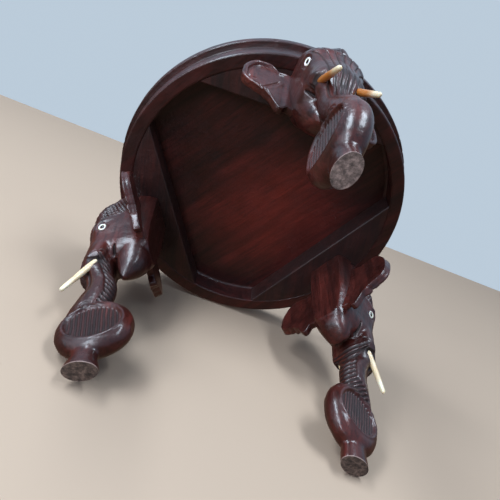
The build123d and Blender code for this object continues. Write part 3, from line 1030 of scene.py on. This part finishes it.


# %% [markdown]
# ## Finishes
#
# The wood is dark rosewood, stained and polished. Its colour goes near black in the cuts, as painted
# shade.
# The seat is lighter and red in a painted pool of light in its hollow, and darker and cooler elsewhere
# as painted shade. The soles are pale and dusty, with a painted highlight round each arris, and the
# front leg's sole is painted paler than the other two as painted light. The tusks are bone, amber at
# the root. Image maps could hold all this, but noise in a piece's own coordinates needs no unwrapping,
# and it runs on round the form as real grain does. The colour and the polish also read how deep a point
# lies in a cut, which was kept on the mesh, and the colour darkens there as painted shade.

# %% nodes for the finishes
class Nodes:
    """The nodes of a material, or of the world, written as sums."""

    def __init__(self, owner):
        owner.use_nodes = True
        self.owner = owner
        self.tree = owner.node_tree
        self.tree.nodes.clear()
        self.coordinates = self.new("ShaderNodeTexCoord").outputs
        self.place = self.coordinates["Object"]

    def new(self, kind, inputs=None, **settings):
        node = self.tree.nodes.new(kind)
        for key, value in settings.items():
            setattr(node, key, value)
        for key, value in (inputs or {}).items():
            if isinstance(value, bpy.types.NodeSocket):
                self.tree.links.new(value, node.inputs[key])
            else:
                node.inputs[key].default_value = value
        return node

    def turned(self, rotation, scale):
        return self.new(
            "ShaderNodeMapping",
            {"Vector": self.place, "Rotation": rotation, "Scale": scale},
            vector_type="TEXTURE",
        ).outputs[0]

    def noise(self, place, scale, detail=4.0, rough=0.55, bend=0.0):
        return self.new(
            "ShaderNodeTexNoise",
            {"Vector": place, "Scale": scale, "Detail": detail, "Roughness": rough, "Distortion": bend},
        ).outputs[0]

    def ramp(self, value, *stops):
        node = self.new("ShaderNodeValToRGB", {"Fac": value})
        while len(node.color_ramp.elements) < len(stops):
            node.color_ramp.elements.new(0.5)
        for element, (place, colour) in zip(node.color_ramp.elements, stops):
            element.position = place
            element.color = (*colour, 1) if len(colour) == 3 else colour
        return node.outputs[0]

    def mix(self, factor, first, second, blend="MIX"):
        node = self.new("ShaderNodeMix", data_type="RGBA", blend_type=blend)
        for key, value in ((0, factor), (6, first), (7, second)):
            if isinstance(value, bpy.types.NodeSocket):
                self.tree.links.new(value, node.inputs[key])
            else:
                node.inputs[key].default_value = value if key == 0 else (*value, 1)
        return node.outputs[2]

    def math(self, operation, first, second=0.5):
        node = self.new("ShaderNodeMath", operation=operation)
        for key, value in enumerate((first, second)):
            if isinstance(value, bpy.types.NodeSocket):
                self.tree.links.new(value, node.inputs[key])
            else:
                node.inputs[key].default_value = value
        return node.outputs[0]

    def dot(self, first, second):
        inputs = {0: first, 1: second}
        return self.new("ShaderNodeVectorMath", inputs, operation="DOT_PRODUCT").outputs["Value"]

    def distance(self, first, second):
        inputs = {0: first, 1: second}
        return self.new("ShaderNodeVectorMath", inputs, operation="DISTANCE").outputs["Value"]

    def height(self):
        return self.new("ShaderNodeSeparateXYZ", {"Vector": self.place}).outputs[2]

    def share(self, value, low, high, kind="LINEAR"):
        """0 at low and 1 at high."""
        inputs = {"Value": value, "From Min": low, "From Max": high}
        return self.new("ShaderNodeMapRange", inputs, interpolation_type=kind).outputs[0]

    def kept_depth(self):
        """What add_depth kept on the mesh."""
        return self.new("ShaderNodeAttribute", attribute_name="cut_depth").outputs["Fac"]

    def is_camera_ray(self):
        return self.new("ShaderNodeLightPath").outputs["Is Camera Ray"]

    def bump(self, height, strength, distance, under=None):
        inputs = {"Height": height, "Strength": strength, "Distance": distance}
        if under:
            inputs["Normal"] = under
        return self.new("ShaderNodeBump", inputs).outputs[0]

    def finish(self, **inputs):
        sockets = {name.replace("_", " "): value for name, value in inputs.items()}
        shader = self.new("ShaderNodeBsdfPrincipled", sockets)
        self.new("ShaderNodeOutputMaterial", {"Surface": shader.outputs[0]})
        return self.owner


def grey(value):
    return (value, value, value)


print("nodes ready")


# %% stained wood
def painted_pool_of_light(nodes, colour, bright, place):
    """Paints a pool of light round a place, up to just above it, and darkens and cools the colour
    everywhere else as painted shade.
    """
    away = nodes.math("MULTIPLY", nodes.distance(nodes.place, place), 10.0)  # in tenths of a metre
    lit_share = nodes.ramp(away, (0.15, grey(1.0)), (0.9, grey(0.0)))
    lit_share = nodes.math("MULTIPLY", lit_share, nodes.math("LESS_THAN", nodes.height(), place[2] + 0.005))
    # painted shade away from the pool, painted light with a lighter tone in it
    colour = nodes.mix(lit_share, nodes.mix(1.0, colour, (0.36, 0.46, 0.56), "MULTIPLY"), colour)
    return nodes.mix(nodes.math("MULTIPLY", lit_share, 0.3), colour, bright)


DUST_TO, ARRIS_HIGHLIGHT_TO = 0.00035, 0.0011  # heights above the floor, in metres


def dusty_sole_and_arris_highlight(nodes, colour, rough, polish, tone):
    """Pale blotched dust under a leg, and a painted highlight round its arris."""
    height = nodes.height()
    sole = nodes.math("LESS_THAN", height, DUST_TO)
    arris_highlight = nodes.math("LESS_THAN", height, ARRIS_HIGHLIGHT_TO)
    shades = [tuple(share * value for value in tone) for share in (0.35, 0.9, 1.9)]
    blotch = nodes.noise(nodes.place, 240.0, 6.0, 0.7)
    pale = nodes.ramp(blotch, (0.36, shades[0]), (0.5, shades[1]), (0.64, shades[2]))
    # painted highlight: a lighter band round the sole's arris
    colour = nodes.mix(nodes.math("MULTIPLY", arris_highlight, 0.7), colour, (0.3, 0.2, 0.17))
    colour = nodes.mix(sole, colour, pale)
    return colour, nodes.mix(sole, rough, grey(0.8)), nodes.mix(sole, polish, grey(0))


def dark_wood(name, rotation, red, gloss, sole_tone=None, pool_of_light_at=None):
    """Stained rosewood, darkened in its cuts as painted shade. The grain runs along Z after the rotation.
    """
    nodes = Nodes(bpy.data.materials.new(name))
    along = nodes.turned(rotation, (1, 1, 11))
    streaks = nodes.noise(along, 95.0, 6.0, 0.62, 0.6)
    fine = nodes.noise(along, 520.0, 4.0, 0.6)
    cloud = nodes.noise(nodes.place, 26.0, 3.0, 0.5)
    deep = tuple(0.3 * value for value in red)
    bright = tuple(2.0 * value for value in red)
    colour = nodes.ramp(streaks, (0.3, deep), (0.5, red), (0.72, bright))
    colour = nodes.mix(nodes.ramp(cloud, (0.35, grey(0.0)), (0.7, grey(0.75))), colour, deep)
    pores = nodes.ramp(fine, (0.36, grey(0.35)), (0.48, grey(1.0)))
    colour = nodes.mix(0.7, colour, pores, "MULTIPLY")
    smudge = nodes.noise(nodes.place, 60.0, 5.0, 0.65)
    rough = nodes.ramp(smudge, (0.3, grey(gloss)), (0.75, grey(gloss + 0.16)))
    cut = nodes.kept_depth()
    # painted shade: the colour goes near black with the depth of a cut
    painted_cut_shade = nodes.ramp(cut, (0.15, grey(0)), (0.85, grey(0.85)))
    colour = nodes.mix(painted_cut_shade, colour, tuple(0.12 * value for value in red))
    rough = nodes.mix(cut, rough, grey(0.7))
    polish = nodes.ramp(cut, (0.1, grey(0.3)), (0.6, grey(0.0)))
    if pool_of_light_at:
        colour = painted_pool_of_light(nodes, colour, bright, pool_of_light_at)
    if sole_tone:
        colour, rough, polish = dusty_sole_and_arris_highlight(nodes, colour, rough, polish, sole_tone)
    lumps = nodes.noise(nodes.place, 210.0, 3.0, 0.55)
    normal = nodes.bump(lumps, 0.5, 0.0009)
    normal = nodes.bump(streaks, 0.25, 0.0006, normal)
    normal = nodes.bump(fine, 0.22, 0.00025, normal)
    return nodes.finish(
        Base_Color=colour,
        Roughness=rough,
        Normal=normal,
        Coat_Weight=polish,
        Coat_Roughness=0.13,
    )


RED = (0.06, 0.011, 0.008)
LIT_SEAT_RED = (0.115, 0.012, 0.008)  # the seat's red where its hollow has the painted pool of light
# The soles' dust is their own, but the two leg woods differ in its tone as painted light: the front leg's
# sole is painted paler, as lit, and the other two darker, as shaded near the floor.
leg_wood = dark_wood("leg_wood", (0, 0, 0), RED, 0.27, (0.13, 0.085, 0.065))
front_leg_wood_lit_sole = dark_wood("front_leg_wood_lit_sole", (0, 0, 0), RED, 0.27, (0.21, 0.15, 0.13))
ear_wood = dark_wood("ear_wood", (0, 0, 0.6), tuple(1.2 * v for v in RED), 0.26)
seat_grain, block_grain = (0, pi / 2, radians(-55)), (0, pi / 2, radians(80))
# the seat gets a painted pool of light round this point in its hollow, and painted shade elsewhere
seat_wood = dark_wood("seat_wood", seat_grain, LIT_SEAT_RED, 0.38, pool_of_light_at=(0.025, 0.04, 0.261))
block_wood = dark_wood("block_wood", block_grain, tuple(0.55 * v for v in RED), 0.5)
print("woods:", [wood.name for wood in (leg_wood, front_leg_wood_lit_sole, ear_wood, seat_wood, block_wood)])


# %% bone and inlay
def bone(name, amber, tones=((0.8, 0.62, 0.36), (0.88, 0.78, 0.56))):
    """Polished bone: cream at the tip, deeper towards the root by the share of amber."""
    nodes = Nodes(bpy.data.materials.new(name))
    blotch = nodes.noise(nodes.place, 120.0, 4.0, 0.55)
    colour = nodes.ramp(blotch, (0.3, tones[0]), (0.7, tones[1]))
    root = nodes.math("MULTIPLY", nodes.kept_depth(), amber)
    colour = nodes.mix(root, colour, (0.45, 0.15, 0.025))
    return nodes.finish(
        Base_Color=colour,
        Roughness=0.34,
        Normal=nodes.bump(nodes.noise(nodes.place, 400.0, 4.0, 0.6), 0.12, 0.0003),
        Subsurface_Weight=0.15,
        Subsurface_Radius=(0.003, 0.0016, 0.0008),
        Coat_Weight=0.3,
    )


def black_inlay():
    nodes = Nodes(bpy.data.materials.new("black_inlay"))
    speck = nodes.noise(nodes.place, 900.0, 3.0, 0.5)
    colour = nodes.ramp(speck, (0.4, (0.012, 0.008, 0.007)), (0.7, (0.035, 0.02, 0.016)))
    return nodes.finish(Base_Color=colour, Roughness=0.22)


tusk_bone = bone("tusk_bone", 0.22)
amber_bone = bone("amber_bone", 1.0)
ring_bone = bone("ring_bone", 0.0, ((0.72, 0.66, 0.52), (0.9, 0.87, 0.8)))
pupil_black = black_inlay()
print("inlays:", [inlay.name for inlay in (tusk_bone, amber_bone, ring_bone, pupil_black)])


# %% a finish for each piece
def dress(piece, material):
    piece.data.materials.clear()
    piece.data.materials.append(material)


for name, leg in legs.items():
    dress(leg, front_leg_wood_lit_sole if name == "front" else leg_wood)
for ear in ears.values():
    dress(ear, ear_wood)
for (name, _), tusk in tusks.items():
    dress(tusk, amber_bone if name == "front" else tusk_bone)
for (kind, *_), part in eyes.items():
    dress(part, ring_bone if kind == "eye_ring" else pupil_black)
dress(seat, seat_wood)
for node_name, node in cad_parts.items():
    if node_name.startswith(("corner_block", "dowel")):
        for slot in node.material_slots:
            slot.material = block_wood
print("finishes:", len(bpy.data.materials))


# %% [markdown]
# ## The stage
#
# The stool lies on its side, on the seat's rim and the coils of two legs. Turning the stool over would
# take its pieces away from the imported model, so the floor is tilted instead, as a sheet under those
# three points. A second floor is for the views that show it standing. Each is seen from its upper side
# only and lets light through, so neither hides or darkens the stool.

# %% floor and backdrop
def floor_material(name, colour):
    nodes = Nodes(bpy.data.materials.new(name))
    cloud = nodes.noise(nodes.place, 1.5, 3.0)
    tone = nodes.ramp(cloud, (0.3, tuple(0.97 * v for v in colour)), (0.7, colour))
    surface = nodes.new("ShaderNodeBsdfDiffuse", {"Color": tone}).outputs[0]
    clear = nodes.new("ShaderNodeBsdfTransparent").outputs[0]
    behind = nodes.new("ShaderNodeNewGeometry").outputs["Backfacing"]
    hidden = nodes.math("MAXIMUM", behind, nodes.math("SUBTRACT", 1.0, nodes.is_camera_ray()))
    mixed = nodes.new("ShaderNodeMixShader", {0: hidden, 1: surface, 2: clear}).outputs[0]
    nodes.new("ShaderNodeOutputMaterial", {"Surface": mixed})
    return nodes.owner


FLOOR_HALF = 6.0


def sheet(name, middle_of_edge, along, facing, material):
    """A square floor, from the middle of its far edge, the way that edge runs and the way it faces."""
    form = bmesh.new()
    bmesh.ops.create_grid(form, x_segments=8, y_segments=8, size=FLOOR_HALF)
    axes = Matrix((along, facing.cross(along), facing)).transposed().to_4x4()
    stand = Matrix.Translation(middle_of_edge) @ axes @ Matrix.Translation((0, -FLOOR_HALF, 0))
    bmesh.ops.transform(form, matrix=stand, verts=form.verts)
    mesh = bpy.data.meshes.new(name)
    form.to_mesh(mesh)
    form.free()
    piece = bpy.data.objects.new(name, mesh)
    mesh.materials.append(material)
    bpy.context.collection.objects.link(piece)
    return piece


FLOOR_UP = Vector((0.0776, -0.966, 0.2468)).normalized()  # square to the floor it lies on
FAR_EDGE_AT = Vector((0.0768, 0.3423, 0.9167))
far_edge = Vector((1.2595, 0.122, 0.0817))
far_edge = (far_edge - far_edge.dot(FLOOR_UP) * FLOOR_UP).normalized()
warm_floor = floor_material("warm_floor", (0.45, 0.335, 0.25))
pale_floor = floor_material("pale_floor", (0.68, 0.56, 0.46))
sheet("lying_floor", FAR_EDGE_AT, far_edge, FLOOR_UP, warm_floor)
under_soles = Vector((0, FLOOR_HALF, -0.0002))
sheet("standing_floor", under_soles, Vector((1, 0, 0)), Vector((0, 0, 1)), pale_floor)
print("floors of", 2 * FLOOR_HALF, "m")

# %% [markdown]
# ## Light
#
# Polished dark wood shows its form by what it mirrors. Two tall windows and a doorway are soft lamps
# that lay long streaks on the coils and heads, and a wide pale wall fills the side towards the camera.
# One big lamp would be simpler, but it would leave the carving flat. The world is the rest of the room:
# warm low down, as the floor is, and cooler above.

# %% lights
VIEW = Vector((0.14707, 0.50871, 0.84828))  # the way the camera looks
UP = Vector((-0.29389, -0.79640, 0.52855))  # and its own up
RIGHT = VIEW.cross(UP)
middle = Vector((AXIS.x, AXIS.y, 0.12))


def softbox(name, direction, distance, size, power, colour=(1, 1, 1)):
    """A soft lamp that looks at the stool, from a direction and a distance."""
    lamp = bpy.data.lights.new(name, "AREA")
    lamp.shape = "RECTANGLE"
    lamp.size, lamp.size_y = size
    lamp.energy = power
    lamp.color = colour
    light = bpy.data.objects.new(name, lamp)
    light.location = middle + direction.normalized() * distance
    light.rotation_euler = (-direction).to_track_quat("-Z", "Y").to_euler()
    bpy.context.collection.objects.link(light)
    return light


OUT = -VIEW
COOL = (0.74, 0.87, 1.0)
softbox("left window", UP * 0.93 - RIGHT * 0.3 + OUT * 0.3, 1.6, (0.36, 1.1), 23, COOL)
softbox("right window", UP * 0.72 + RIGHT * 0.62 + OUT * 0.27, 1.6, (0.36, 1.1), 23, COOL)
softbox("doorway", OUT * 0.84 - RIGHT * 0.375 + UP * 0.35, 1.7, (0.3, 1.2), 19, (0.78, 0.88, 1.0))
softbox("pale wall", OUT * 0.55 - RIGHT * 0.7 + UP * 0.35, 1.7, (1.5, 1.5), 9, (0.7, 0.84, 1.0))
for name, direction in (("above", Vector((0.3, 0.5, 1.0))), ("behind", Vector((-0.4, 1.0, 0.25)))):
    softbox(name, direction, 1.8, (1.2, 1.2), 9, (1.0, 0.98, 0.95)).visible_glossy = False
print("lamps:", len(bpy.data.lights))

# %% the room
LOW_DOWN, HIGH_UP = (0.16, 0.11, 0.08), (0.27, 0.36, 0.49)
WALL_SIDE, BACKDROP = (0.4, 0.52, 0.66), (0.5, 0.6, 0.7)
world = bpy.data.worlds.new("studio")
nodes = Nodes(world)
facing = nodes.coordinates["Generated"]
height = nodes.dot(facing, FLOOR_UP)
room = nodes.ramp(height, (0.0, LOW_DOWN), (0.25, HIGH_UP))
behind = nodes.share(nodes.dot(facing, VIEW), 0.3, 0.8, "SMOOTHSTEP")
above = nodes.share(height, 0.05, 0.2)
room = nodes.mix(nodes.math("MULTIPLY", behind, above), room, WALL_SIDE)
room = nodes.mix(nodes.is_camera_ray(), room, BACKDROP)
background = nodes.new("ShaderNodeBackground", {"Color": room}).outputs[0]
nodes.new("ShaderNodeOutputWorld", {"Surface": background})
bpy.context.scene.world = world
bpy.context.scene.view_settings.view_transform = "Standard"
print("room:", len(nodes.tree.nodes), "nodes")

# %% [markdown]
# ## Camera
#
# The stool is modelled standing up, and the floor is tilted to fit it. So the camera is tilted with
# the floor, and looks into the hollow under the seat.

# %% camera
lens = bpy.data.cameras.new("camera")
lens.lens = 43.2
lens.sensor_width = 36.0
camera = bpy.data.objects.new("camera", lens)
turn = Matrix((RIGHT, UP, -VIEW)).transposed().to_4x4()
from_seat = Vector((-0.08539, -0.26648, -0.55112))
place = Vector((AXIS.x, AXIS.y, UNDERSIDE)) + from_seat
camera.matrix_world = Matrix.Translation(place) @ turn
bpy.context.collection.objects.link(camera)
bpy.context.scene.camera = camera
print("camera", round(from_seat.length, 2), "m from the seat's underside")
